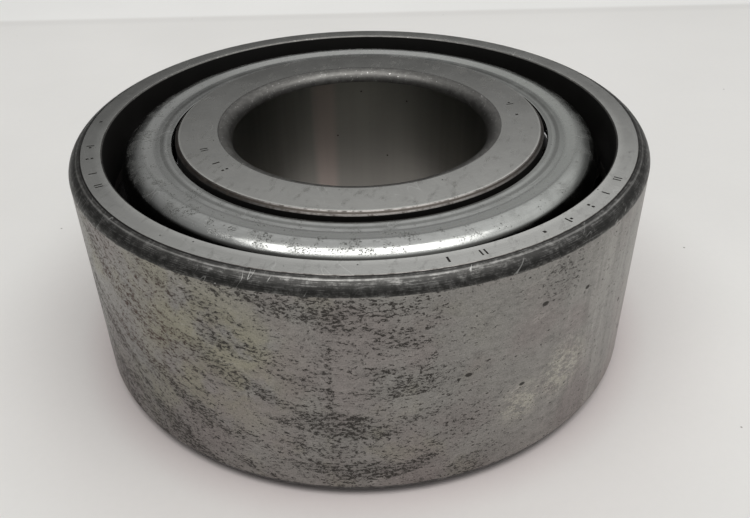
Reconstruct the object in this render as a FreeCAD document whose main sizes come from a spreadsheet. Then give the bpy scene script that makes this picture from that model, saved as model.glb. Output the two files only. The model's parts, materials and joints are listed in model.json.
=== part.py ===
import FreeCAD, Part
import math
import os
import Sketcher

# Double-row angular contact ball bearing, millimetres.
# The origin is the middle of the bearing and +Z runs along the bore axis.
# The two rows lie back to back: their contact lines spread apart towards the shaft.

doc = FreeCAD.newDocument("AngularContactBearing")

DRIVING_SIZES = [
    ("outer_diameter", 110.0),
    ("bore_diameter", 50.0),
    ("ring_width", 44.45),
    ("corner_radius", 2.4),  # the rounded corners that meet the housing and the shaft
    ("edge_break", 0.3),  # the small break on the outer ring's inner edge
    ("ball_diameter", 17.4625),  # 11/16 inch
    ("balls_per_row", 11),
    ("pitch_diameter", 80.0),  # of the circle that the ball centres lie on
    ("row_offset", 10.3),  # from the middle of the bearing to each row
    ("contact_angle", 30.0),
    ("groove_conformity", 0.52),  # groove radius over ball diameter
    ("ball_clearance", 0.08),  # between ball and groove along the contact line
    ("recess_diameter", 97.46),  # the outer ring's open sides, beyond the balls
    ("rib_diameter", 88.0),  # the outer ring's rib between the rows
    ("shoulder_diameter", 71.2),  # the inner ring's high outer shoulders
    ("shoulder_chamfer", 0.7),
    ("land_diameter", 63.0),  # the inner ring's low land between the rows
    ("sheet_thickness", 1.3),
    ("cage_rim_diameter", 72.7),  # the sheared inner edge of the pressed cage
    ("cage_flat_diameter", 79.4),  # where the cage's flat lip starts to rise
    ("cage_flat_depth", 1.7),  # below the ring faces
    ("cage_crown_depth", 0.85),  # below the ring faces
    ("cage_roll_radius", 3.3),  # from the crown over into the wall
    ("cage_outer_diameter", 92.0),
    ("cage_mouth_height", 4.4),  # from the middle of the bearing to the prong tips
    ("pocket_clearance", 0.18),
]

WORKED_SIZES = [
    ("half_width", "Sizes.ring_width / 2"),
    ("outer_radius", "Sizes.outer_diameter / 2"),
    ("bore_radius", "Sizes.bore_diameter / 2"),
    ("ball_radius", "Sizes.ball_diameter / 2"),
    ("pitch_radius", "Sizes.pitch_diameter / 2"),
    ("ball_pitch", "360 / Sizes.balls_per_row"),
    ("corner_size", "Sizes.corner_radius"),
    ("corner_start", "half_width - Sizes.corner_radius"),
    # Groove centres are set off from the ball centres along the contact line.
    ("groove_radius", "Sizes.groove_conformity * Sizes.ball_diameter"),
    ("groove_shift", "groove_radius - ball_radius - Sizes.ball_clearance"),
    ("groove_shift_across", "groove_shift * cos(Sizes.contact_angle)"),
    ("groove_shift_along", "groove_shift * sin(Sizes.contact_angle)"),
    # Outer ring.
    ("outer_groove_across", "pitch_radius - groove_shift_across"),
    ("outer_groove_along", "Sizes.row_offset + groove_shift_along"),
    ("outer_face_edge", "outer_radius - Sizes.corner_radius"),
    ("recess_radius", "Sizes.recess_diameter / 2"),
    ("recess_face_edge", "recess_radius + Sizes.edge_break"),
    ("recess_mouth", "half_width - Sizes.edge_break"),
    ("recess_across", "recess_radius - outer_groove_across"),
    ("recess_floor", "outer_groove_along + sqrt(groove_radius ^ 2 - recess_across ^ 2)"),
    ("rib_radius", "Sizes.rib_diameter / 2"),
    ("rib_across", "rib_radius - outer_groove_across"),
    ("rib_edge", "outer_groove_along - sqrt(groove_radius ^ 2 - rib_across ^ 2)"),
    # Inner ring.
    ("inner_groove_across", "pitch_radius + groove_shift_across"),
    ("inner_groove_along", "Sizes.row_offset - groove_shift_along"),
    ("bore_face_edge", "bore_radius + Sizes.corner_radius"),
    ("shoulder_radius", "Sizes.shoulder_diameter / 2"),
    ("shoulder_face_edge", "shoulder_radius - Sizes.shoulder_chamfer"),
    ("shoulder_mouth", "half_width - Sizes.shoulder_chamfer"),
    ("shoulder_across", "inner_groove_across - shoulder_radius"),
    ("shoulder_edge", "inner_groove_along + sqrt(groove_radius ^ 2 - shoulder_across ^ 2)"),
    ("land_radius", "Sizes.land_diameter / 2"),
    ("land_across", "inner_groove_across - land_radius"),
    ("land_edge", "inner_groove_along - sqrt(groove_radius ^ 2 - land_across ^ 2)"),
    # Cage: a flat lip, two equal arcs that lift it to the crown, then the roll into the wall.
    ("flat_top", "half_width - Sizes.cage_flat_depth"),
    ("flat_underside", "flat_top - Sizes.sheet_thickness"),
    ("crown_top", "half_width - Sizes.cage_crown_depth"),
    ("crown_underside", "crown_top - Sizes.sheet_thickness"),
    ("cage_rim_radius", "Sizes.cage_rim_diameter / 2"),
    ("cage_flat_radius", "Sizes.cage_flat_diameter / 2"),
    ("wall_radius", "Sizes.cage_outer_diameter / 2"),
    ("wall_inside", "wall_radius - Sizes.sheet_thickness"),
    ("mouth_height", "Sizes.cage_mouth_height"),
    ("roll_outside", "Sizes.cage_roll_radius"),
    ("roll_inside", "roll_outside - Sizes.sheet_thickness"),
    ("crown_radius", "wall_radius - Sizes.cage_roll_radius"),
    ("wall_top", "crown_top - Sizes.cage_roll_radius"),
    ("rise_run", "crown_radius - cage_flat_radius"),
    ("rise_height", "crown_top - flat_top"),
    ("rise_radius", "(rise_run ^ 2 + rise_height ^ 2) / (4 * rise_height)"),
    ("rise_foot_inside", "rise_radius + Sizes.sheet_thickness"),
    ("rise_head_inside", "rise_radius - Sizes.sheet_thickness"),
    ("rise_middle_across", "(cage_flat_radius + crown_radius) / 2"),
    ("rise_middle_along", "(flat_top + crown_top) / 2"),
    ("rise_sine", "rise_run / 2 / rise_radius"),
    ("rise_cosine", "sqrt(1 - rise_sine ^ 2)"),
    ("rise_inside_across", "rise_middle_across + Sizes.sheet_thickness * rise_sine"),
    ("rise_inside_along", "rise_middle_along - Sizes.sheet_thickness * rise_cosine"),
    ("pocket_radius", "ball_radius + Sizes.pocket_clearance"),
]


# How a sketch's constraints number its own origin and the ends of a line or an arc.
SKETCH_ORIGIN = -1
START_POINT = 1
END_POINT = 2


def makeSheet(name, rows, prefix=""):
    """A sheet with one labelled, aliased value on each line."""
    sheet = doc.addObject("Spreadsheet::Sheet", name)
    for line, (alias, content) in enumerate(rows, start=1):
        sheet.set(f"A{line}", alias)
        sheet.set(f"B{line}", f"{prefix}{content}")
        sheet.setAlias(f"B{line}", alias)
    doc.recompute()
    return sheet


sizes = makeSheet("Sizes", DRIVING_SIZES)
worked = makeSheet("Worked", WORKED_SIZES, prefix="=")


def originFeature(body, role):
    """One of a body's own origin planes or axes."""
    for feature in body.Origin.OriginFeatures:
        if feature.Role == role:
            return feature
    raise ValueError(f"{body.Name} has no {role}")


def signedSize(name):
    """The value of a worked size, with a leading minus kept."""
    return -worked.get(name[1:]) if name.startswith("-") else worked.get(name)


def bindCell(name):
    """The expression that reads a worked size, with a leading minus kept."""
    return f"-Worked.{name[1:]}" if name.startswith("-") else f"Worked.{name}"


def arcBetween(start, end, radius, bulge):
    """The short arc from start to end, its centre to the left (+1) or right (-1) of the way along.

    An arc always runs anticlockwise, so one with its centre on the right starts at the end.
    """
    chord = end - start
    toCentre = FreeCAD.Vector(-chord.y, chord.x, 0).normalize() * bulge
    centre = start + chord / 2 + toCentre * (radius**2 - chord.Length**2 / 4) ** 0.5
    first, last = (start, end) if bulge > 0 else (end, start)
    circle = Part.Circle(centre, FreeCAD.Vector(0, 0, 1), radius)
    firstAngle = math.atan2(first.y - centre.y, first.x - centre.x)
    lastAngle = math.atan2(last.y - centre.y, last.x - centre.x)
    return Part.ArcOfCircle(circle, firstAngle, lastAngle)


def drawProfile(body, outline):
    """A closed, fully sized sketch on the body's XZ plane.

    Each corner of the outline is (distance from the axis, height, None or (radius, bulge)), and the
    last entry says how the outline runs on to the next corner: straight, or round with that radius.
    """
    sketch = body.newObject("Sketcher::SketchObject", f"{body.Name}Profile")
    sketch.AttachmentSupport = [(originFeature(body, "XZ_Plane"), "")]
    sketch.MapMode = "FlatFace"
    corners = [FreeCAD.Vector(signedSize(across), signedSize(along), 0) for across, along, _ in outline]
    ends = []
    for index, (_, _, roundness) in enumerate(outline):
        start = corners[index]
        end = corners[(index + 1) % len(corners)]
        if roundness is None:
            sketch.addGeometry(Part.LineSegment(start, end), False)
            ends.append((START_POINT, END_POINT))
        else:
            sketch.addGeometry(arcBetween(start, end, signedSize(roundness[0]), roundness[1]), False)
            ends.append((START_POINT, END_POINT) if roundness[1] > 0 else (END_POINT, START_POINT))
    for index, (across, along, roundness) in enumerate(outline):
        following = (index + 1) % len(outline)
        sketch.addConstraint(
            Sketcher.Constraint("Coincident", index, ends[index][1], following, ends[following][0])
        )
        place = corners[index]
        for kind, cell, value in (("DistanceX", across, place.x), ("DistanceY", along, place.y)):
            number = sketch.addConstraint(
                Sketcher.Constraint(kind, SKETCH_ORIGIN, START_POINT, index, ends[index][0], value)
            )
            sketch.setExpression(f"Constraints[{number}]", bindCell(cell))
        if roundness is not None:
            number = sketch.addConstraint(
                Sketcher.Constraint("Radius", index, signedSize(roundness[0]))
            )
            sketch.setExpression(f"Constraints[{number}]", bindCell(roundness[0]))
    return sketch


def mirroredOutline(upper):
    """An outline that is the same below the middle plane as above it.

    The upper half runs from its first corner to its last one, and the lower half runs back.
    """
    lower = []
    for position in reversed(range(len(upper))):
        across, along, _ = upper[position]
        roundness = upper[position - 1][2] if position > 0 else None
        lower.append((across, f"-{along}", roundness))
    return upper + lower


def turnBody(name, outline):
    """A body turned about the bearing's axis from an outline."""
    body = doc.addObject("PartDesign::Body", name)
    body.Label = name
    sketch = drawProfile(body, outline)
    turning = body.newObject("PartDesign::Revolution", f"{name}Turning")
    turning.Profile = sketch
    turning.ReferenceAxis = (sketch, ["V_Axis"])
    turning.Angle = 360
    sketch.Visibility = False
    doc.recompute()
    return body


def makeOuterRing():
    """Open on both sides beyond the balls, with a rib between the two grooves."""
    upper = [
        ("outer_radius", "corner_start", ("corner_size", 1)),
        ("outer_face_edge", "half_width", None),
        ("recess_face_edge", "half_width", None),
        ("recess_radius", "recess_mouth", None),
        ("recess_radius", "recess_floor", ("groove_radius", -1)),
        ("rib_radius", "rib_edge", None),
    ]
    return turnBody("outer_ring", mirroredOutline(upper))


def makeInnerRing():
    """High shoulders on both ends of the grooves, with a low land between them."""
    upper = [
        ("land_radius", "land_edge", ("groove_radius", -1)),
        ("shoulder_radius", "shoulder_edge", None),
        ("shoulder_radius", "shoulder_mouth", None),
        ("shoulder_face_edge", "half_width", None),
        ("bore_face_edge", "half_width", ("corner_size", 1)),
        ("bore_radius", "corner_start", None),
    ]
    return turnBody("inner_ring", mirroredOutline(upper))


def makeCage(name, placement):
    """A pressed-steel cup whose wall is pierced by ball pockets that open towards the middle."""
    outline = [
        ("cage_rim_radius", "flat_underside", None),
        ("cage_flat_radius", "flat_underside", ("rise_foot_inside", 1)),
        ("rise_inside_across", "rise_inside_along", ("rise_head_inside", -1)),
        ("crown_radius", "crown_underside", ("roll_inside", -1)),
        ("wall_inside", "wall_top", None),
        ("wall_inside", "mouth_height", None),
        ("wall_radius", "mouth_height", None),
        ("wall_radius", "wall_top", ("roll_outside", 1)),
        ("crown_radius", "crown_top", ("rise_radius", 1)),
        ("rise_middle_across", "rise_middle_along", ("rise_radius", -1)),
        ("cage_flat_radius", "flat_top", None),
        ("cage_rim_radius", "flat_top", None),
    ]
    body = turnBody(name, outline)
    plainVolume = body.Shape.Volume
    pocket = body.newObject("PartDesign::SubtractiveSphere", f"{name}Pocket")
    pocket.AttachmentSupport = [(originFeature(body, "XY_Plane"), "")]
    pocket.MapMode = "FlatFace"
    pocket.setExpression("Radius", "Worked.pocket_radius")
    pocket.setExpression(".AttachmentOffset.Base.x", "Worked.pitch_radius")
    pocket.setExpression(".AttachmentOffset.Base.z", "Sizes.row_offset")
    doc.recompute()
    pockets = body.newObject("PartDesign::PolarPattern", f"{name}Pockets")
    pockets.Originals = [pocket]
    pockets.Axis = (originFeature(body, "Z_Axis"), [""])
    pockets.Angle = 360
    pockets.setExpression("Occurrences", "Sizes.balls_per_row")
    body.Tip = pockets
    body.Placement = placement
    doc.recompute()
    if not body.Shape.Volume < plainVolume:
        raise ValueError(f"{name} has no pockets")
    return body


def makeBall(name, row, turns):
    """A ball of the upper (+1) or lower (-1) row, so many ball pitches round from +X."""
    ball = doc.addObject("Part::Sphere", name)
    ball.Label = name
    ball.setExpression("Radius", "Worked.ball_radius")
    ball.setExpression(".Placement.Base.x", f"Worked.pitch_radius * cos({turns} * Worked.ball_pitch)")
    ball.setExpression(".Placement.Base.y", f"Worked.pitch_radius * sin({turns} * Worked.ball_pitch)")
    ball.setExpression(".Placement.Base.z", f"{row} * Sizes.row_offset")
    return ball


# The lower cage is the upper one turned over and moved on by half a ball pitch.
turnedOver = FreeCAD.Rotation(FreeCAD.Vector(1, 0, 0), 180)
halfPitchOn = FreeCAD.Rotation(FreeCAD.Vector(0, 0, 1), worked.get("ball_pitch") / 2)
lowerCagePlace = FreeCAD.Placement(FreeCAD.Vector(0, 0, 0), halfPitchOn.multiply(turnedOver))

pieces = [
    makeOuterRing(),
    makeInnerRing(),
    makeCage("upper_cage", FreeCAD.Placement()),
    makeCage("lower_cage", lowerCagePlace),
]
for index in range(int(sizes.get("balls_per_row"))):
    pieces.append(makeBall(f"upper_ball_{index + 1:02d}", 1, index))
    pieces.append(makeBall(f"lower_ball_{index + 1:02d}", -1, index + 0.5))
doc.recompute()

for item in doc.Objects:
    if "Invalid" in item.State or "Error" in item.State:
        raise ValueError(f"{item.Label} failed: {item.State}")
for piece in pieces:
    if piece.Shape.isNull() or not piece.Shape.isValid() or len(piece.Shape.Solids) != 1:
        raise ValueError(f"{piece.Label} is not one valid solid")

os.makedirs("parts", exist_ok=True)
for piece in pieces:
    piece.Shape.exportStep(f"parts/{piece.Label}.step")
    print(f"{piece.Label}: {piece.Shape.Volume / 1000:.3f} cm3")
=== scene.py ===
import json
import math

import bmesh
import bpy
from mathutils import Matrix, Vector


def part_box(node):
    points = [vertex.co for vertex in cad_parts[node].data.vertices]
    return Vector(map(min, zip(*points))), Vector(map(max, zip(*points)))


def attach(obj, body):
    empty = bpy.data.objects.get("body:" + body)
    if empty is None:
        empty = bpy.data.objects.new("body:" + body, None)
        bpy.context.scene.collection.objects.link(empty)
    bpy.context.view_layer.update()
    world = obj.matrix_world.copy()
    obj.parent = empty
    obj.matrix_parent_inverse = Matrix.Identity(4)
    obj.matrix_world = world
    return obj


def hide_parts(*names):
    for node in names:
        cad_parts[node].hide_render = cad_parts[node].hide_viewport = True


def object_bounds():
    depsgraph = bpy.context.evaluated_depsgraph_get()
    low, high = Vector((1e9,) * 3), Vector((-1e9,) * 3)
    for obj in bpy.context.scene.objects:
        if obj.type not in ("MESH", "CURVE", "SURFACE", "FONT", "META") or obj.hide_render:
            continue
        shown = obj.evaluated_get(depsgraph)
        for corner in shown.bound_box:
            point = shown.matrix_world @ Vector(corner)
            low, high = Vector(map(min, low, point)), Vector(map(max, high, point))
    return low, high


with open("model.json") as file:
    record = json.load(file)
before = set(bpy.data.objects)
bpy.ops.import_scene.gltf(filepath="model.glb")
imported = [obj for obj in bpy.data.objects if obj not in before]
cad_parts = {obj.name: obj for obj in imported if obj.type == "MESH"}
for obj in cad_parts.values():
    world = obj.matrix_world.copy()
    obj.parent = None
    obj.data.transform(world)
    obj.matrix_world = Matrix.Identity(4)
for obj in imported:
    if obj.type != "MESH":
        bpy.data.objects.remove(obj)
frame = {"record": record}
cadLow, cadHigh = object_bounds()
mm = 0.001
faceHeight = cadHigh[2]  # the ring faces, above the middle of the bearing
floorHeight = cadLow[2]
print("frame loaded")


class Wire:
    # wraps one socket, so that shader maths reads as plain arithmetic
    def __init__(self, tree, socket):
        self.tree = tree
        self.socket = socket

    def maths(self, operation, *terms):
        node = self.tree.nodes.new("ShaderNodeMath")
        node.operation = operation
        for place, term in enumerate(terms):
            if isinstance(term, Wire):
                self.tree.links.new(term.socket, node.inputs[place])
            else:
                node.inputs[place].default_value = term
        return Wire(self.tree, node.outputs[0])

    def __add__(self, other):
        return self.maths("ADD", self, other)

    def __radd__(self, other):
        return self.maths("ADD", other, self)

    def __sub__(self, other):
        return self.maths("SUBTRACT", self, other)

    def __rsub__(self, other):
        return self.maths("SUBTRACT", other, self)

    def __mul__(self, other):
        return self.maths("MULTIPLY", self, other)

    def __rmul__(self, other):
        return self.maths("MULTIPLY", other, self)

    def __abs__(self):
        return self.maths("ABSOLUTE", self)

    def __or__(self, other):
        # the stronger of two masks
        return self.maths("MAXIMUM", self, other)

    def capped(self, most):
        return self.maths("MINIMUM", self, most)


class Finish:
    # one material; all its nodes but plain maths come from node()
    def __init__(self, name):
        self.material = bpy.data.materials.new(name)
        self.material.use_nodes = True
        self.tree = self.material.node_tree
        self.tree.nodes.clear()
        place = self.node("ShaderNodeTexCoord", output="Object")
        # patterns are sized in millimetres
        self.place = self.node("ShaderNodeVectorMath", {"operation": "SCALE"}, {0: place, "Scale": 1 / mm})
        self.x = self.node("ShaderNodeSeparateXYZ", {}, {0: self.place}, output="X")
        self.y = self.node("ShaderNodeSeparateXYZ", {}, {0: self.place}, output="Y")
        self.z = self.node("ShaderNodeSeparateXYZ", {}, {0: self.place}, output="Z")
        flat = self.node("ShaderNodeCombineXYZ", {}, {"X": self.x, "Y": self.y})
        self.across = self.node("ShaderNodeVectorMath", {"operation": "LENGTH"}, {0: flat}, output="Value")

    def node(self, kind, settings=None, sockets=None, output=0):
        made = self.tree.nodes.new(kind)
        for key, value in (settings or {}).items():
            setattr(made, key, value)
        for key, value in (sockets or {}).items():
            if isinstance(value, Wire):
                self.tree.links.new(value.socket, made.inputs[key])
            else:
                made.inputs[key].default_value = value
        return Wire(self.tree, made.outputs[output]) if made.outputs else None

    def moved(self, stretch=(1, 1, 1), turn=(0, 0, 0), shift=(0, 0, 0)):
        # a larger stretch number packs the pattern tighter that way
        turned = [math.radians(angle) for angle in turn]
        first = self.node("ShaderNodeMapping", {}, {"Vector": self.place, "Rotation": turned})
        return self.node("ShaderNodeMapping", {}, {"Vector": first, "Scale": stretch, "Location": shift})

    def ringCoordinates(self, around, out, up):
        # blotches drawn out round the axis: large round it, fine across it
        steps = self.across * (1 / out) - abs(self.z) * (1 / up)
        return self.node(
            "ShaderNodeCombineXYZ", {}, {"X": self.x * (1 / around), "Y": self.y * (1 / around), "Z": steps}
        )

    def noise(self, size, detail=2.0, roughness=0.5, at=None):
        # soft blotches about size millimetres across, or size units of at
        return self.node(
            "ShaderNodeTexNoise",
            {},
            {"Vector": at or self.place, "Scale": 1 / size, "Detail": detail, "Roughness": roughness},
        )

    def dots(self, spacing, at=None):
        # distance to the nearest of scattered points, in units of their spacing
        return self.node(
            "ShaderNodeTexVoronoi", {}, {"Vector": at or self.place, "Scale": 1 / spacing, "Randomness": 1.0}
        )

    def step(self, value, start, end):
        # 0 at start, 1 at end, smooth between; start may be the larger
        return self.node(
            "ShaderNodeMapRange",
            {"interpolation_type": "SMOOTHSTEP"},
            {"Value": value, "From Min": start, "From Max": end},
        )

    def band(self, value, middle, half, soft):
        # 1 within half of the middle, fading out over soft
        return self.step(abs(value - middle), half + soft, half)

    def near(self, spot, reach, soft):
        # 1 within reach of a spot on the bearing, in millimetres
        ends = {0: self.place, 1: spot}
        away = self.node("ShaderNodeVectorMath", {"operation": "DISTANCE"}, ends, output="Value")
        return self.step(away, reach + soft, reach)

    def lines(self, size, width, at=None, detail=1.0):
        # thin wandering lines, 1 on the line
        wander = self.noise(size, detail, 0.4, at)
        return self.step(abs(wander - 0.5), width, 0.0)

    def blend(self, factor, first, second):
        # of two colours; factor 0 is the first
        sockets = {0: factor}
        for place, colour in ((6, first), (7, second)):
            sockets[place] = colour if isinstance(colour, Wire) else (*colour, 1.0)
        return self.node("ShaderNodeMix", {"data_type": "RGBA"}, sockets, output=2)

    def shade(self, colour, amount):
        # a colour made lighter or darker by a factor that varies
        return self.node("ShaderNodeVectorMath", {"operation": "SCALE"}, {0: colour, "Scale": amount})

    def done(self, sockets, height=None, relief=0.01):
        # height runs from 0 to 1 and relief is the depth that stands for, in millimetres
        if height is not None:
            sockets["Normal"] = self.node("ShaderNodeBump", {}, {"Height": height, "Distance": relief * mm})
        shader = self.node("ShaderNodeBsdfPrincipled", {}, sockets)
        self.node("ShaderNodeOutputMaterial", {}, {"Surface": shader})
        return self.material


groundSideLook = {
    "steel": (0.300, 0.290, 0.275),
    "yellowed": (0.315, 0.300, 0.240),
    "reddened": (0.275, 0.246, 0.238),
    "limed": (0.52, 0.50, 0.43),
    "stain": (0.026, 0.021, 0.017),
    "rust": (0.085, 0.040, 0.026),
    "scuff": (0.52, 0.50, 0.465),
    "scale": (0.050, 0.048, 0.047),
    "roughness": 0.40,
    "scaleEdge": 20.45,  # where the corner's dark scale begins, above and below the middle
    "arcDrop": 0.0125,  # how fast the arcs of stain fall away to either side
    "dribbleAt": -3.4,  # where a thin dribble has run down the front
    "crowdMost": 1.05,
    # each spot is a place in millimetres, how far it reaches and how far it fades beyond that
    "crowdedSpots": [
        (0.20, ((-34, -43, -15), 6.0, 14.0)),
        (0.50, ((31, -45.5, 17), 2.0, 7.0)),
        (0.12, ((3, -54, -12), 4.0, 18.0)),
    ],
    "yellowSpot": ((-25, -49, 5), 8.0, 12.0),
    "rustSpot": ((-38, -39, 10), 6.0, 14.0),
    "limeSpots": [((33.5, -43.5, -4.5), 2.0, 6.0), ((25.5, -48.7, -7.5), 1.2, 5.0)],
    "darkReflectionSpot": ((-43, -34, -20), 6.0, 22.0),
}


def groundSideFinish():
    # the ground outside of the outer ring: satin, with oil stains etched in as fine specks
    look = groundSideLook
    f = Finish("groundSideSteel")
    drift = f.noise(9.0, 3.0, 0.6)
    haze = f.noise(1.5, 4.0, 0.65, f.moved((0.7, 0.7, 1.3)))
    grind = f.noise(1.0, 3.0, 0.7, f.ringCoordinates(9.0, 40.0, 0.16))
    leftSide = f.step(f.x + 0.3 * f.z, 26.0, 5.0)  # most of the stain is here
    rightSide = f.step(f.x, 22.0, 40.0)
    upright = f.noise(1.0, 3.0, 0.65, f.moved((0.5, 0.5, 0.04)))
    # the stains run down in arcs that flatten out towards the bottom
    sweep = f.z - look["arcDrop"] * (f.x * f.x) + 2.0 * haze
    arcPlace = f.node("ShaderNodeCombineXYZ", {}, {"X": f.x * 0.050, "Y": f.y * 0.050, "Z": sweep * 0.24})
    arcs = f.noise(1.0, 4.0, 0.65, arcPlace)
    puddles = f.noise(1.0, 4.0, 0.65, f.moved((0.085, 0.085, 0.13), shift=(7, 3, 2)))
    dribble = f.band(f.x + 4.5 * haze, look["dribbleAt"], 0.1, 0.7) * f.band(f.z, 4.0, 6.0, 4.0)
    dribble = dribble * f.step(f.y, 0.0, -20.0)  # only on the front
    crowd = f.step(arcs + 0.22 * (haze - 0.5), 0.44, 0.60) * leftSide * 0.66
    crowd = crowd + f.step(puddles, 0.44, 0.70) * (0.12 + 0.26 * leftSide)
    crowd = crowd + 0.24 * leftSide + 0.5 * dribble
    for strength, spot in look["crowdedSpots"]:
        crowd = crowd + strength * f.near(*spot)
    crowd = crowd.capped(look["crowdMost"])
    grit = f.noise(0.66, 5.0, 0.82, f.moved((0.75, 0.75, 1.5)))
    grain = f.noise(0.24, 2.0, 0.6)
    fleck = f.step(grit + 0.113 * crowd, 0.610, 0.622)
    pits = f.step(f.dots(2.8, f.moved((0.8, 0.8, 1.4))) - 0.02 * crowd, 0.09, 0.05)
    pits = pits | f.step(f.dots(9.0, f.moved((0.8, 0.8, 1.2), shift=(2, 5, 1))) + 0.04 * haze, 0.085, 0.065)
    stained = fleck | pits
    soiled = f.step(haze + 0.16 * crowd, 0.50, 0.85) * 0.28
    yellow = f.near(*look["yellowSpot"]) * f.step(f.noise(6.0, 3.0, 0.55), 0.36, 0.56)
    yellow = yellow | f.step(f.noise(13.0, 3.0, 0.55, f.moved(shift=(3, 1, 8))), 0.52, 0.68) * leftSide * 0.7
    red = f.step(f.noise(14.0, 3.0, 0.55, f.moved(shift=(9, 4, 1))), 0.42, 0.66) * 0.7
    limed = f.near(*look["limeSpots"][0]) | f.near(*look["limeSpots"][1])
    limed = limed * f.step(grit + 0.5 * haze, 0.70, 0.80)
    # painted dark reflection low on the left
    shadowed = f.near(*look["darkReflectionSpot"]) * 0.22
    scuffArea = f.step(f.noise(8.0, 2.0, 0.5, f.moved(shift=(5, 5, 5))), 0.48, 0.62)
    scuffs = f.lines(3.0, 0.010, f.moved((0.22, 0.22, 1.5), (0, 20, 0)), 2.0) * scuffArea * 0.32
    spill = f.step(abs(f.z) + 0.7 * haze + 0.5 * grit, look["scaleEdge"], look["scaleEdge"] + 0.20)
    colour = f.blend(yellow, look["steel"], look["yellowed"])
    colour = f.blend(red, colour, look["reddened"])
    colour = f.blend(limed * 0.65, colour, look["limed"])
    texture = 0.26 * drift + 0.30 * grind + haze + 0.7 * grit + 0.8 * grain
    texture = texture + 1.1 * rightSide * (upright - 0.42)
    # painted shade: the side a little darker right of the middle
    darkenedBy = 0.08 * f.band(f.x, 26.0, 12.0, 9.0)
    colour = f.shade(colour, texture - shadowed - darkenedBy - 0.50)
    colour = f.blend(soiled, colour, look["stain"])
    colour = f.blend(scuffs, colour, look["scuff"])
    rusty = f.blend(f.near(*look["rustSpot"]) * 0.7, look["stain"], look["rust"])
    colour = f.blend(stained * 0.95, colour, rusty)
    colour = f.blend(spill * 0.9, colour, look["scale"])
    rough = look["roughness"] + 0.10 * drift + 0.22 * stained - 0.05 * grind
    return f.done(
        {"Base Color": colour, "Metallic": 1.0 - 0.8 * stained, "Roughness": rough},
        grind + 0.6 * grit - 1.2 * stained,
        0.010,
    )


turnedCornerLook = {
    "scale": (0.058, 0.057, 0.055),
    "bared": (0.46, 0.455, 0.44),
    "chipped": (0.26, 0.25, 0.24),
    "scratch": (0.72, 0.72, 0.70),
    # the dark line along the top of the corner, next to the face
    "dirt": (0.008, 0.008, 0.008),
    "roughness": 0.34,
    "highlightCrest": 53.35,  # how far from the axis a highlight line is painted, where the wear is also a little heavier
    "start": 52.68,
}


def turnedCornerFinish():
    # the rolled corner keeps its dark heat-treatment scale, worn bright along the turning marks, with a
    # painted highlight line along it
    look = turnedCornerLook
    f = Finish("turnedCornerScale")
    streaks = f.noise(1.0, 4.0, 0.85, f.ringCoordinates(5.0, 0.15, 0.15))
    mottle = f.noise(1.3, 4.0, 0.70)
    highlightCrest = f.band(f.across, look["highlightCrest"], 0.04, 0.20)
    worn = f.step(0.62 * streaks + 0.38 * mottle + 0.05 * highlightCrest, 0.51, 0.60)
    rim = f.step(f.across, look["start"] + 0.16, look["start"])
    chips = f.step(abs(f.z), 20.9, 20.1) * f.step(f.noise(0.8, 4.0, 0.7), 0.55, 0.60)
    scratched = f.lines(2.6, 0.016, f.moved((0.35, 0.35, 2.4), (0, 52, 0)))
    scratched = scratched * f.step(f.noise(5.0, 2.0), 0.54, 0.62)
    # bared by wear, and lighter still along the painted highlight line
    colour = f.blend(worn * 0.36 + 0.26 * highlightCrest, f.shade(look["scale"], 0.4 + 1.2 * mottle), look["bared"])
    colour = f.blend(chips * 0.35, colour, look["chipped"])
    colour = f.blend(scratched * 0.6, colour, look["scratch"])
    # dark along the top of the corner, next to the face
    colour = f.blend(rim * 0.9, colour, look["dirt"])
    rough = look["roughness"] + 0.24 * mottle - 0.16 * worn
    return f.done(
        {"Base Color": colour, "Metallic": 0.9, "Roughness": rough},
        streaks + 0.7 * mottle,
        0.016,
    )


faceWear = {"smear": (0.13, 0.125, 0.115), "scratch": (0.8, 0.8, 0.79), "nick": (0.05, 0.048, 0.045)}
groundFaceLook = {
    # the gains are painted light and shade: how much lighter a face is at its bright edge, 40 mm to the
    # right, and at the back
    "outerRingFaceSteel": {
        "steel": (0.57, 0.572, 0.553),
        "roughness": 0.16,
        "wear": 0.55,
        "brightEdge": (50.6, 49.0),  # the ground face is painted lightest at this edge
        "edgeGain": 0.24,
        "rightGain": 0.12,
        "backGain": 0.20,
        "darkEdge": (48.0, 47.0),
    },
    "innerRingFaceSteel": {
        "steel": (0.54, 0.54, 0.52),
        "roughness": 0.17,
        "wear": 0.9,
        "brightEdge": (34.4, 34.9),
        "edgeGain": 0.40,
        "rightGain": 0.05,
        "backGain": -0.10,
        "darkEdge": (27.60, 27.46),
    },
}


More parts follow.
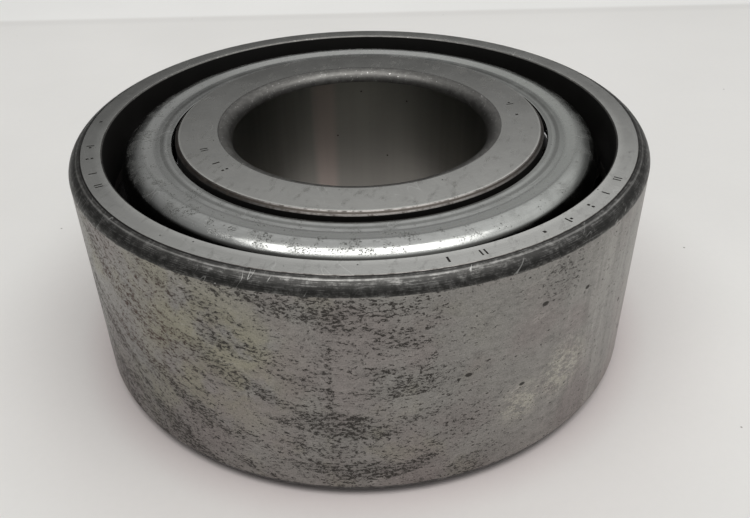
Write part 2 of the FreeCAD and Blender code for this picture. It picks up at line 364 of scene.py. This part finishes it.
def groundFaceFinish(name):
    # a face ground flat: fine arcs round the axis, small nicks, and a little handling wear
    look = groundFaceLook[name]
    f = Finish(name)
    arcs = f.noise(1.0, 4.0, 0.75, f.ringCoordinates(14.0, 0.14, 30.0))
    cross = f.noise(0.5, 3.0, 0.7, f.moved((0.25, 1.5, 1.0), (0, 0, 25)))
    cloud = f.noise(6.0, 4.0, 0.62)
    grains = f.noise(0.5, 3.0, 0.7)
    nicks = f.step(f.dots(2.6), 0.075, 0.04) * f.step(f.noise(6.0), 0.44, 0.58)
    specks = f.step(grains, 0.70, 0.74) * f.step(cloud, 0.46, 0.60)
    scratched = f.lines(7.0, 0.006, f.moved((0.3, 1.6, 1.0), (0, 0, 62))) * f.step(cloud, 0.45, 0.6)
    smears = f.step(f.noise(2.2, 4.0, 0.65, f.moved((1.4, 0.6, 1), (0, 0, 20))), 0.52, 0.72) * look["wear"]
    bright = f.step(f.across, *look["brightEdge"])
    dark = f.step(f.across, *look["darkEdge"])
    # painted light at the bright edge and to the right; at the back, painted light on the outer face and
    # painted shade on the inner
    gain = look["edgeGain"] * bright + look["rightGain"] / 40.0 * f.x
    gain = gain + look["backGain"] * f.step(f.y, 12.0, 30.0)
    colour = f.shade(look["steel"], 0.66 + 0.24 * cloud + 0.22 * arcs + 0.16 * cross + gain)
    colour = f.blend(smears * 0.45, colour, faceWear["smear"])
    colour = f.blend(scratched * 0.35, colour, faceWear["scratch"])
    colour = f.blend((nicks | specks * 0.6) | dark * 0.8, colour, faceWear["nick"])
    rough = look["roughness"] + 0.08 * cloud + 0.14 * smears
    return f.done(
        {"Base Color": colour, "Metallic": 1.0, "Roughness": rough},
        arcs + 0.6 * cross + 0.4 * grains - nicks,
        0.003,
    )


wornChamferLook = {
    "steel": (0.38, 0.360, 0.345),
    "grime": (0.050, 0.040, 0.032),
    "groove": 35.2,  # a dark turning groove runs along the middle, and it is duller outside of it
}


def wornChamferFinish():
    # the inner ring's edge: turned in fine lines, grimy, and rubbed bright in places
    look = wornChamferLook
    f = Finish("wornChamferSteel")
    rings = f.noise(1.0, 4.0, 0.8, f.ringCoordinates(6.0, 0.09, 0.09))
    patch = f.noise(1.1, 4.0, 0.7)
    grime = f.step(patch + 0.35 * rings, 0.66, 0.80) * 0.75
    line = f.band(f.across, look["groove"], 0.09, 0.07)
    darkenedBy = 0.4 * f.step(f.x, -4.0, -22.0) + 0.3 * f.step(f.across, look["groove"], look["groove"] + 0.2)
    colour = f.shade(look["steel"], 0.28 + 1.2 * rings - darkenedBy)
    colour = f.blend(grime | line * 0.85, colour, look["grime"])
    return f.done(
        {"Base Color": colour, "Metallic": 1.0 - 0.4 * grime, "Roughness": 0.30 + 0.25 * patch},
        rings + patch,
        0.02,
    )


boreLook = {
    "steel": (0.370, 0.376, 0.352),
    "browned": (0.56, 0.50, 0.465),
    "spot": (0.05, 0.045, 0.04),
    "bandAt": -6.1,  # a brown band at the back, left of the middle
    "roughness": 0.26,
}


def boreFinish():
    # the ground bore: smooth, a little oily, with faint upright bands from honing and pressing
    look = boreLook
    f = Finish("boreSteel")
    upright = f.noise(1.0, 3.0, 0.6, f.moved((0.16, 0.16, 0.006)))
    grind = f.noise(1.0, 3.0, 0.7, f.ringCoordinates(8.0, 40.0, 0.14))
    behind = f.step(f.y, 4.0, 18.0)
    brown = f.band(f.x + 3.0 * upright, look["bandAt"], 0.8, 2.6) * behind
    spots = f.step(f.dots(4.2), 0.06, 0.03)
    # painted shade: the bore darker towards both sides
    sides = f.step(abs(f.x), 12.0, 22.0)
    colour = f.blend(brown * 0.8, look["steel"], look["browned"])
    colour = f.shade(colour, 0.72 + 0.40 * upright + 0.14 * grind - 0.45 * sides)
    colour = f.blend(spots, colour, look["spot"])
    rough = look["roughness"] + 0.10 * upright
    return f.done({"Base Color": colour, "Metallic": 1.0, "Roughness": rough}, grind, 0.004)


boreCornerLook = {"steel": (0.175, 0.172, 0.165), "glint": (0.72, 0.71, 0.69), "roughness": 0.38}


def roundedBoreFinish():
    # the rounding between face and bore, turned and dulled, with painted glints
    look = boreCornerLook
    f = Finish("boreCornerSteel")
    rings = f.noise(1.0, 4.0, 0.75, f.ringCoordinates(6.0, 0.16, 0.16))
    mottle = f.noise(1.2, 4.0, 0.68)
    glints = f.step(f.noise(0.45, 3.0, 0.7) + 0.15 * mottle, 0.72, 0.76)
    colour = f.shade(look["steel"], 0.72 * rings + 1.1 * mottle)
    colour = f.blend(glints * 0.8, colour, look["glint"])
    rough = look["roughness"] + 0.18 * mottle - 0.15 * glints
    return f.done(
        {"Base Color": colour, "Metallic": 1.0, "Roughness": rough},
        rings + 0.8 * mottle,
        0.02,
    )


hiddenLook = {
    # near black: painted shade deep between the rings
    "recessShade": (0.008, 0.0075, 0.007),
    "honed": (0.42, 0.41, 0.40),
    "oilFilm": (0.20, 0.17, 0.12),
    "stampDirt": (0.022, 0.020, 0.018),
    "ball": (0.66, 0.66, 0.67),
}


def paintedShadeRecessFinish():
    # between the rings: steel with its scale left on, coloured near black as painted shade
    f = Finish("paintedShadeRecess")
    cloud = f.noise(4.0, 3.0, 0.6)
    rings = f.noise(1.0, 3.0, 0.7, f.ringCoordinates(9.0, 0.25, 0.25))
    colour = f.shade(hiddenLook["recessShade"], 0.6 + 0.5 * cloud + 0.3 * rings)
    return f.done(
        {"Base Color": colour, "Metallic": 0.0, "Roughness": 0.50 + 0.2 * cloud, "Specular IOR Level": 0.22},
        rings,
        0.01,
    )


def racewayFinish():
    # honed ball tracks and the lands beside them
    f = Finish("honedRacewaySteel")
    rings = f.noise(1.0, 3.0, 0.7, f.ringCoordinates(20.0, 0.1, 0.1))
    oil = f.step(f.noise(5.0, 3.0, 0.6), 0.42, 0.7)
    colour = f.blend(oil, hiddenLook["honed"], hiddenLook["oilFilm"])
    return f.done({"Base Color": colour, "Metallic": 1.0, "Roughness": 0.13 + 0.12 * oil}, rings, 0.002)


def stampFinish():
    # stamped marks hold dirt
    f = Finish("stampedMarkDirt")
    dirt = f.noise(0.5, 3.0, 0.6)
    colour = f.shade(hiddenLook["stampDirt"], 0.5 + dirt)
    rough = 0.55 + 0.2 * dirt
    return f.done({"Base Color": colour, "Metallic": 0.0, "Roughness": rough, "Specular IOR Level": 0.3})


cageLook = {
    "sheet": (0.50, 0.508, 0.498),
    "green": (0.465, 0.485, 0.462),
    "dull": (0.26, 0.265, 0.255),
    # the speck colour is also the colour of the painted gap shade
    "speckAndShade": (0.045, 0.045, 0.04),
    "scratch": (0.78, 0.79, 0.78),
    "lipEdge": 37.0,  # painted shade of the gap to the inner ring lies inside of this at the front
    "lipHighlight": 37.35,  # a highlight line is painted along the lip here
    "lipLine": 38.4,  # a dark line lies a little inside of this, just outside the painted highlight line
    "bend": 40.6,  # the step up to the crown, painted a little lighter
    "shoulder": 42.6,
    "outerGapShade": 44.7,  # painted shade of the gap to the outer ring lies outside of this
    "roughness": 0.16,
}


def cageFinish():
    # pressed sheet: drawn smooth on the shoulder, duller and specked where it has been handled
    look = cageLook
    f = Finish("pressedCageSheet")
    cloud = f.noise(5.0, 4.0, 0.62)
    grain = f.noise(0.30, 4.0, 0.75)
    drawn = f.noise(1.0, 4.0, 0.75, f.ringCoordinates(10.0, 0.24, 0.24))
    leftFront = f.step(f.x + 0.9 * f.y, 0.0, -44.0)
    shoulder = f.band(f.across, look["shoulder"], 1.2, 1.6)
    crowd = f.step(f.noise(3.0, 4.0, 0.65), 0.44, 0.60) * (0.30 + 0.55 * leftFront + 0.25 * shoulder)
    specks = f.step(grain + 0.15 * crowd, 0.66, 0.705)
    pits = f.step(f.dots(1.7) - 0.03 * crowd, 0.075, 0.045)
    marked = (specks | pits) * f.step(f.across, look["outerGapShade"] + 0.5, look["outerGapShade"] - 0.5)
    dulled = f.step(cloud + 0.10 * crowd, 0.42, 0.70)
    bend = f.band(f.across, look["bend"], 0.5, 0.9)
    lip = f.band(f.across + 0.5 * grain, look["lipLine"], 0.20, 0.30) * 0.75
    # painted shade where the cage drops into the gap to the outer ring
    outerGapShade = f.step(f.across, look["outerGapShade"], look["outerGapShade"] + 0.35) * 0.85
    # painted shade: the gap to the inner ring drawn wider at the front
    gapShade = f.step(f.across, look["lipEdge"], look["lipEdge"] - 0.25) * f.step(f.y, -18.0, -32.0) * 0.8
    # painted highlight along the lip
    lipHighlight = f.band(f.across, look["lipHighlight"], 0.12, 0.2)
    # painted shade on the crown at both sides, and painted light at the back
    outward = f.step(f.across, 41.6, 44.0)
    away = f.step(f.x, -20.0, -36.0) * (0.08 + 0.25 * outward) + f.step(f.x, 20.0, 36.0) * 0.16 * outward
    away = away - 0.25 * f.step(f.y, 24.0, 38.0)
    scratched = f.lines(4.0, 0.007, f.moved((1.2, 0.3, 1.0), (0, 0, 35))) * f.step(cloud, 0.45, 0.6)
    colour = f.blend(f.step(f.x, 5.0, 42.0) * 0.6, look["sheet"], look["green"])
    colour = f.blend(dulled * 0.32 | lip, colour, look["dull"])
    # bend and the lip highlight add painted light; away takes off painted shade
    colour = f.shade(colour, 0.76 + 0.30 * drawn + 0.24 * grain + 0.12 * bend + 0.2 * lipHighlight - away)
    colour = f.blend(scratched * 0.4, colour, look["scratch"])
    colour = f.blend(marked * 0.85 | outerGapShade | gapShade, colour, look["speckAndShade"])
    rough = look["roughness"] + 0.12 * dulled + 0.15 * marked + 0.12 * bend
    return f.done(
        {"Base Color": colour, "Metallic": 1.0 - 0.5 * marked, "Roughness": rough},
        drawn + 0.6 * grain - marked,
        0.0035,
    )


def ballFinish():
    # lapped and hardened balls under a thin film of oil
    f = Finish("polishedBallSteel")
    film = f.noise(3.0, 3.0, 0.6)
    colour = f.shade(hiddenLook["ball"], 0.85 + 0.2 * film)
    return f.done({"Base Color": colour, "Metallic": 1.0, "Roughness": 0.05 + 0.07 * film})


floorLook = {
    "top": (0.815, 0.809, 0.794),
    "paintedShadowColour": (0.70, 0.63, 0.625),  # the painted shadow's colour close to the bearing
    "beyond": (0.915, 0.915, 0.905),
    "dust": (0.18, 0.16, 0.14),
    "backEdge": 208.0,  # a lighter surface starts behind the table's back edge
}


def floorFinish():
    # a pale painted table top with a little dust
    look = floorLook
    f = Finish("paleTableTop")
    cloud = f.noise(60.0, 3.0, 0.5)
    fine = f.noise(1.2, 3.0, 0.6)
    dust = f.step(f.dots(9.0), 0.035, 0.02) * f.step(f.noise(30.0), 0.50, 0.62)
    # painted shadow: the table darker and warmer close to the bearing
    paintedShadow = f.step(f.across, 90.0, 56.0) * 0.30 + f.step(f.across, 63.0, 55.0) * 0.50
    beyond = f.step(f.y, look["backEdge"], look["backEdge"] + 5.0)
    edge = f.band(f.y, look["backEdge"] - 0.5, 1.0, 5.0)
    colour = f.blend(paintedShadow, look["top"], look["paintedShadowColour"])
    colour = f.blend(beyond, colour, look["beyond"])
    # painted light: the table a little lighter further back
    further = f.step(f.y, 30.0, 190.0)
    colour = f.shade(colour, 0.92 + 0.10 * cloud + 0.03 * fine + 0.075 * further - 0.05 * edge)
    colour = f.blend(dust * 0.8, colour, look["dust"])
    return f.done({"Base Color": colour, "Roughness": 0.55}, fine, 0.02)


finishes = {
    "side": groundSideFinish(),
    "corner": turnedCornerFinish(),
    "outerFace": groundFaceFinish("outerRingFaceSteel"),
    "innerFace": groundFaceFinish("innerRingFaceSteel"),
    "chamfer": wornChamferFinish(),
    "bore": boreFinish(),
    "boreCorner": roundedBoreFinish(),
    "recess": paintedShadeRecessFinish(),
    "raceway": racewayFinish(),
    "stamp": stampFinish(),
    "cage": cageFinish(),
    "ball": ballFinish(),
    "floor": floorFinish(),
}
print("finishes made")


def bent(start, end, bend, steps):
    # points after start and up to end on the arc between them; a positive bend has its centre on the left
    chord = end - start
    towards = Vector((-chord.y, chord.x)).normalized() * math.copysign(1, bend)
    centre = (start + end) / 2 + towards * math.sqrt(bend**2 - chord.length_squared / 4)
    arm = start - centre
    sweep = 2 * math.asin(chord.length / 2 / abs(bend)) * math.copysign(1, bend)
    return [centre + Matrix.Rotation(sweep * step / steps, 2) @ arm for step in range(1, steps + 1)]


def bothSides(upper):
    # the same outline above and below the middle of the bearing, run back along the lower half
    lower = []
    for place in reversed(range(len(upper))):
        bend = upper[place - 1][2] if place else 0
        lower.append((upper[place][0], -upper[place][1], bend))
    return upper + lower


def turned(outline, sides, steps=14):
    # outline corners are (distance from the axis, height, bend of the stretch to the next corner)
    work = bmesh.new()
    corners = [Vector(corner[:2]) for corner in outline]
    points = []
    for place, corner in enumerate(corners):
        following = corners[(place + 1) % len(corners)]
        bend = outline[place][2]
        points += bent(corner, following, bend, steps) if bend else [following]
    ring = [work.verts.new((point.x, 0, point.y)) for point in points]
    edges = [work.edges.new(pair) for pair in zip(ring, ring[1:] + ring[:1])]
    bmesh.ops.spin(
        work, geom=ring + edges, cent=(0, 0, 0), axis=(0, 0, 1), dvec=(0, 0, 0),
        angle=2 * math.pi, steps=sides, use_merge=True, use_duplicate=False,
    )
    bmesh.ops.remove_doubles(work, verts=work.verts, dist=0.001 * mm)
    bmesh.ops.recalc_face_normals(work, faces=work.faces)
    return work


def breakEdges(work, size, sharper=24):
    # rounds every edge that turns by more than so many degrees
    sharp = [edge for edge in work.edges if edge.calc_face_angle(0) > math.radians(sharper)]
    bmesh.ops.bevel(
        work, geom=sharp, offset=size, segments=2, profile=0.5, affect="EDGES",
        material=-1, clamp_overlap=True,
    )


def placeOf(face):
    # a face's distance from the axis, and how far it is from the middle of the bearing along it
    centre = face.calc_center_median()
    return math.hypot(centre.x, centre.y), abs(centre.z)


def piece(name, work, coats, body, replaced):
    # finishes a mesh as a piece of the bearing
    for face in work.faces:
        face.smooth = True
    mesh = bpy.data.meshes.new(name)
    work.to_mesh(mesh)
    work.free()
    for coat in coats:
        mesh.materials.append(finishes[coat])
    made = bpy.data.objects.new(name, mesh)
    bpy.context.collection.objects.link(made)
    flats = made.modifiers.new("flatFacesStayFlat", "WEIGHTED_NORMAL")
    flats.keep_sharp = True
    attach(made, body)
    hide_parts(replaced)
    return made


def cutAway(made, cutting, coat):
    # takes the shapes in cutting out of a piece; coat is the number of the new faces' coat
    for face in cutting.faces:
        face.material_index = coat
    mesh = bpy.data.meshes.new("cutter")
    cutting.to_mesh(mesh)
    cutting.free()
    for slot in made.data.materials:
        mesh.materials.append(slot)
    cutter = bpy.data.objects.new("cutter", mesh)
    bpy.context.collection.objects.link(cutter)
    cut = made.modifiers.new("cut", "BOOLEAN")
    cut.operation = "DIFFERENCE"
    cut.solver = "EXACT"
    cut.object = cutter
    made.modifiers["flatFacesStayFlat"].show_viewport = False
    bpy.context.view_layer.update()
    pierced = bpy.data.meshes.new_from_object(made.evaluated_get(bpy.context.evaluated_depsgraph_get()))
    made.modifiers.remove(cut)
    made.modifiers["flatFacesStayFlat"].show_viewport = True
    made.data = pierced
    bpy.data.objects.remove(cutter)
    work = bmesh.new()
    work.from_mesh(pierced)
    for edge in work.edges:
        edge.smooth = edge.calc_face_angle(0) < math.radians(35)  # steeper edges look sharp
    for face in work.faces:
        face.smooth = True
    work.to_mesh(pierced)
    work.free()


def strikeMarks(made, marks, coat):
    # presses plain bars and dots into a ring's upper face, in groups round the axis
    cutting = bmesh.new()
    number = 0
    for group in marks["groups"]:
        for angle in group:
            turn = Matrix.Rotation(math.radians(angle), 4, "Z")
            for out, aside, long, wide in marks["shapes"][number % len(marks["shapes"])]:
                centre = Vector((marks["across"] + out * mm, aside * mm, faceHeight))
                size = Matrix.Diagonal((long * mm, wide * mm, 2 * marks["depth"], 1))
                bmesh.ops.create_cube(cutting, size=1, matrix=turn @ Matrix.Translation(centre) @ size)
            number += 1
    cutAway(made, cutting, coat)


# each mark is a few strokes: how far out, how far aside, long and wide, in millimetres
plainMarks = [
    [(0.0, -0.38, 1.4, 0.30), (0.0, 0.38, 1.4, 0.30)],
    [(0.0, 0.0, 1.4, 0.36)],
    [(0.42, 0.0, 0.48, 0.48), (-0.42, 0.0, 0.48, 0.48)],
    [(0.0, -0.30, 1.4, 0.32), (0.0, 0.42, 0.46, 0.46)],
    [(0.0, 0.0, 0.55, 0.55)],
]
outerRing = {
    "sides": 384,
    "cornerAcross": 2.4 * mm,  # the rolled corner, measured along the face
    "cornerDown": 2.25 * mm,
    "cornerBend": 3.0 * mm,
    "lip": 0.09 * mm,  # the small bright step between the face and the corner
    "recess": 48.73 * mm,
    "recessFloor": 11.9 * mm,
    "edgeBreak": 0.26 * mm,
    "groove": 9.08 * mm,
    "rib": 44.0 * mm,
    "ribEdge": 2.4 * mm,
    "breakSize": 0.05 * mm,
    "flatWithin": 0.01 * mm,  # how close to the face's height a flat part of it is
    "coats": ["side", "corner", "outerFace", "recess", "stamp", "raceway", "chamfer", "boreCorner"],
}
outerMarks = {
    "shapes": plainMarks,
    "groups": [
        [-151.3, -156.9, -163.8, -169.5, 178.1],
        [-31.7, -38.1, -44.0, -50.6, -57.0, -69.7, -76.0],
    ],
    "across": 50.85 * mm,
    "depth": 0.12 * mm,
}


def makeOuterRing():
    size = outerRing
    cornerEdge = outerRadius - size["cornerAcross"]
    upper = [
        (outerRadius, faceHeight - size["cornerDown"], size["cornerBend"]),
        (cornerEdge, faceHeight - size["lip"], 0),
        (cornerEdge - size["lip"], faceHeight, 0),
        (size["recess"] + size["edgeBreak"], faceHeight, 0),
        (size["recess"], faceHeight - size["edgeBreak"], 0),
        (size["recess"], size["recessFloor"], -size["groove"]),
        (size["rib"], size["ribEdge"], 0),
    ]
    work = turned(bothSides(upper), size["sides"])
    for face in work.faces:
        across, along = placeOf(face)
        coat = "side"
        if across < size["recess"] + 0.1 * size["edgeBreak"]:
            coat = "raceway" if along < size["recessFloor"] else "recess"
        elif across < cornerEdge and along > faceHeight - size["edgeBreak"]:
            if along > faceHeight - size["flatWithin"]:
                coat = "outerFace"
            else:
                coat = "chamfer" if across > cornerEdge - size["lip"] else "boreCorner"
        elif along > faceHeight - size["cornerDown"]:
            coat = "corner"
        face.material_index = size["coats"].index(coat)
    breakEdges(work, size["breakSize"])
    made = piece("outerRingPiece", work, size["coats"], "outer_ring", "outer_ring")
    strikeMarks(made, outerMarks, size["coats"].index("stamp"))


innerRing = {
    "sides": 320,
    "cornerAcross": 2.4 * mm,
    "cornerDown": 2.4 * mm,
    "cornerBend": 2.55 * mm,
    "chamfer": 0.7 * mm,
    "shoulderEdge": 17.97 * mm,
    "groove": 9.08 * mm,
    "land": 31.5 * mm,
    "landEdge": 7.68 * mm,
    "breakSize": 0.09 * mm,
    "coats": ["bore", "innerFace", "chamfer", "boreCorner", "raceway", "stamp", "recess"],
}
innerMarks = {
    "shapes": plainMarks,
    "groups": [[-157.8, -146.3, -140.4], [10.6, 0.5]],
    "across": 30.9 * mm,
    "depth": 0.10 * mm,
}


def makeInnerRing():
    size = innerRing
    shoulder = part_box("inner_ring")[1][0]
    bore = boreRadius
    upper = [
        (size["land"], size["landEdge"], -size["groove"]),
        (shoulder, size["shoulderEdge"], 0),
        (shoulder, faceHeight - size["chamfer"], 0),
        (shoulder - size["chamfer"], faceHeight, 0),
        (bore + size["cornerAcross"], faceHeight, size["cornerBend"]),
        (bore, faceHeight - size["cornerDown"], 0),
    ]
    work = turned(bothSides(upper), size["sides"])
    for face in work.faces:
        across, along = placeOf(face)
        if across < bore + size["cornerAcross"]:
            coat = "boreCorner" if along > faceHeight - size["cornerDown"] else "bore"
        elif along > faceHeight - size["chamfer"]:
            coat = "chamfer" if across > shoulder - size["chamfer"] else "innerFace"
        else:
            coat = "recess" if along > size["shoulderEdge"] else "raceway"
        face.material_index = size["coats"].index(coat)
    breakEdges(work, size["breakSize"])
    made = piece("innerRingPiece", work, size["coats"], "inner_ring", "inner_ring")
    strikeMarks(made, innerMarks, size["coats"].index("stamp"))


ballSet = {"perRow": 11, "pocketSpare": 0.18 * mm, "around": 64, "over": 32}
cage = {
    "sides": 352,
    "sheet": 1.3 * mm,
    "rim": 36.35 * mm,
    "flat": 39.2 * mm,
    "flatDepth": 1.19 * mm,
    "crownDepth": 1.02 * mm,
    "lean": 4.0,  # degrees that the step up to the crown leans
    "roll": 4.1 * mm,
    "mouth": 4.4 * mm,
    "breakSize": 0.16 * mm,
    "breakSharper": 60,  # degrees
    "arcSteps": 12,
}


def ballPlace(name):
    low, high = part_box(name)
    return (Vector(low) + Vector(high)) / 2, (high[2] - low[2]) / 2


def makeCage(row, side):
    # side is +1 for the upper cage and -1 for the lower one, turned over
    size = cage
    name = f"{row}_cage"
    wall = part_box("upper_cage")[1][0]
    sheet, roll = size["sheet"], size["roll"]
    flatTop = faceHeight - size["flatDepth"]
    crownTop = faceHeight - size["crownDepth"]
    run, rise = wall - roll - size["flat"], crownTop - flatTop
    lean = math.radians(size["lean"])
    bend = (run * math.tan(lean) - rise) * math.cos(lean) / 2 / (1 - math.cos(lean))
    aside, down = bend * math.sin(lean), bend * (1 - math.cos(lean))
    # from the upper side of the leaning part to its under side
    thick = sheet * Vector((math.sin(lean), -math.cos(lean)))
    foot = Vector((size["flat"] + aside, flatTop + down))
    head = Vector((wall - roll - aside, crownTop - down))
    outline = [
        (size["rim"], flatTop - sheet, 0),
        (size["flat"], flatTop - sheet, bend + sheet),
        (*(foot + thick), 0),
        (*(head + thick), -(bend - sheet)),
        (wall - roll, crownTop - sheet, -(roll - sheet)),
        (wall - sheet, crownTop - roll, 0),
        (wall - sheet, size["mouth"], 0),
        (wall, size["mouth"], 0),
        (wall, crownTop - roll, roll),
        (wall - roll, crownTop, bend),
        (*head, 0),
        (*foot, -bend),
        (size["flat"], flatTop, 0),
        (size["rim"], flatTop, 0),
    ]
    work = turned(outline, size["sides"], size["arcSteps"])
    breakEdges(work, size["breakSize"], size["breakSharper"])
    if side < 0:
        bmesh.ops.rotate(work, verts=work.verts, cent=(0, 0, 0), matrix=Matrix.Rotation(math.pi, 3, "X"))
    made = piece(f"{row}CagePiece", work, ["cage"], name, name)
    cutPockets(made, row)


def cutPockets(made, row):
    # takes one ball-shaped pocket per ball out of the cage's wall
    cutting = bmesh.new()
    for number in range(ballSet["perRow"]):
        centre, radius = ballPlace(f"{row}_ball_{number + 1:02d}")
        bmesh.ops.create_uvsphere(
            cutting, u_segments=ballSet["around"], v_segments=ballSet["over"],
            radius=radius + ballSet["pocketSpare"], matrix=Matrix.Translation(centre),
        )
    cutAway(made, cutting, 0)  # a cage has one coat, number 0


def makeBall(name):
    centre, radius = ballPlace(name)
    work = bmesh.new()
    bmesh.ops.create_uvsphere(
        work, u_segments=ballSet["around"], v_segments=ballSet["over"], radius=radius,
        matrix=Matrix.Translation(centre),
    )
    piece(name.replace("_ball_", "BallPiece"), work, ["ball"], name, name)


outerRadius = cadHigh[0]
boreRadius = frame["record"]["mounts"][0]["dims"]["r_mm"] * mm  # the first mount is the bore
makeOuterRing()
makeInnerRing()
for row, side in (("upper", 1), ("lower", -1)):
    makeCage(row, side)
    for number in range(ballSet["perRow"]):
        makeBall(f"{row}_ball_{number + 1:02d}")
print("bearing made")


tableHalfWidth = 3.0


def makeFloor():
    work = bmesh.new()
    level = Matrix.Translation((0, 0, floorHeight))
    bmesh.ops.create_grid(work, x_segments=1, y_segments=1, size=tableHalfWidth, matrix=level)
    mesh = bpy.data.meshes.new("tableTop")
    work.to_mesh(mesh)
    work.free()
    mesh.materials.append(finishes["floor"])
    table = bpy.data.objects.new("tableTop", mesh)
    bpy.context.collection.objects.link(table)


studio = {
    # how bright the room is at each height of the sky, as the sine of the height
    "sky": [
        (0.0, 0.03), (0.30, 0.06), (0.355, 0.09), (0.41, 0.19),
        (0.49, 0.42), (0.57, 0.53), (0.70, 0.60), (1.0, 0.62),
    ],
    "rightSide": 0.60,  # how much stronger than the middle the light from the right is
    "behind": 0.20,
}
lamps = [
    # name, place, looks at, width, depth, power, colour
    ("ceilingPanel", (0.0, -0.20, 0.80), (0.0, -0.08, 0.0), 1.1, 0.40, 4.3, (1.0, 0.99, 0.97)),
]


def makeLight():
    world = bpy.data.worlds.new("paleRoom")
    bpy.context.scene.world = world
    world.use_nodes = True
    tree = world.node_tree
    tree.nodes.clear()
    place = tree.nodes.new("ShaderNodeTexCoord")
    split = tree.nodes.new("ShaderNodeSeparateXYZ")
    ramp = tree.nodes.new("ShaderNodeValToRGB")
    background = tree.nodes.new("ShaderNodeBackground")
    surface = tree.nodes.new("ShaderNodeOutputWorld")
    stops = ramp.color_ramp.elements
    while len(stops) < len(studio["sky"]):
        stops.new(0.5)
    for stop, (height, bright) in zip(stops, studio["sky"]):
        stop.position = height
        stop.color = (bright, bright * 0.997, bright * 0.985, 1)
    tree.links.new(place.outputs["Generated"], split.inputs[0])
    tree.links.new(split.outputs["Z"], ramp.inputs[0])
    tree.links.new(ramp.outputs[0], background.inputs["Color"])
    tree.links.new(background.outputs[0], surface.inputs["Surface"])
    side, depth = Wire(tree, split.outputs["X"]), Wire(tree, split.outputs["Y"])
    strength = 1 + studio["rightSide"] * side + studio["behind"] * depth
    tree.links.new(strength.socket, background.inputs["Strength"])
    for name, place, target, width, depth, power, colour in lamps:
        light = bpy.data.lights.new(name, "AREA")
        light.shape = "RECTANGLE"
        light.size = width
        light.size_y = depth
        light.energy = power
        light.color = colour
        lamp = bpy.data.objects.new(name, light)
        lamp.location = place
        lamp.rotation_euler = (Vector(target) - Vector(place)).to_track_quat("-Z", "Y").to_euler()
        bpy.context.collection.objects.link(lamp)


camera = {
    "place": (0.0, -0.1445, 0.0877),
    "tilt": 55.65,  # up from looking straight down, in degrees like the next two
    "pan": -1.0,
    "roll": -1.033,
    "lens": 38.31,
    "sensor": 36.0,
    "nearest": 0.005,
}


def makeCamera():
    optics = bpy.data.cameras.new("standCamera")
    optics.lens = camera["lens"]
    optics.sensor_width = camera["sensor"]
    optics.clip_start = camera["nearest"]
    stand = bpy.data.objects.new("standCamera", optics)
    pan, tilt, roll = (math.radians(camera[key]) for key in ("pan", "tilt", "roll"))
    turn = Matrix.Rotation(pan, 4, "Z") @ Matrix.Rotation(tilt, 4, "X") @ Matrix.Rotation(roll, 4, "Z")
    stand.matrix_world = Matrix.Translation(camera["place"]) @ turn
    bpy.context.collection.objects.link(stand)
    bpy.context.scene.camera = stand


makeFloor()
makeLight()
makeCamera()
bpy.context.scene.view_settings.view_transform = "Standard"
print("studio made")
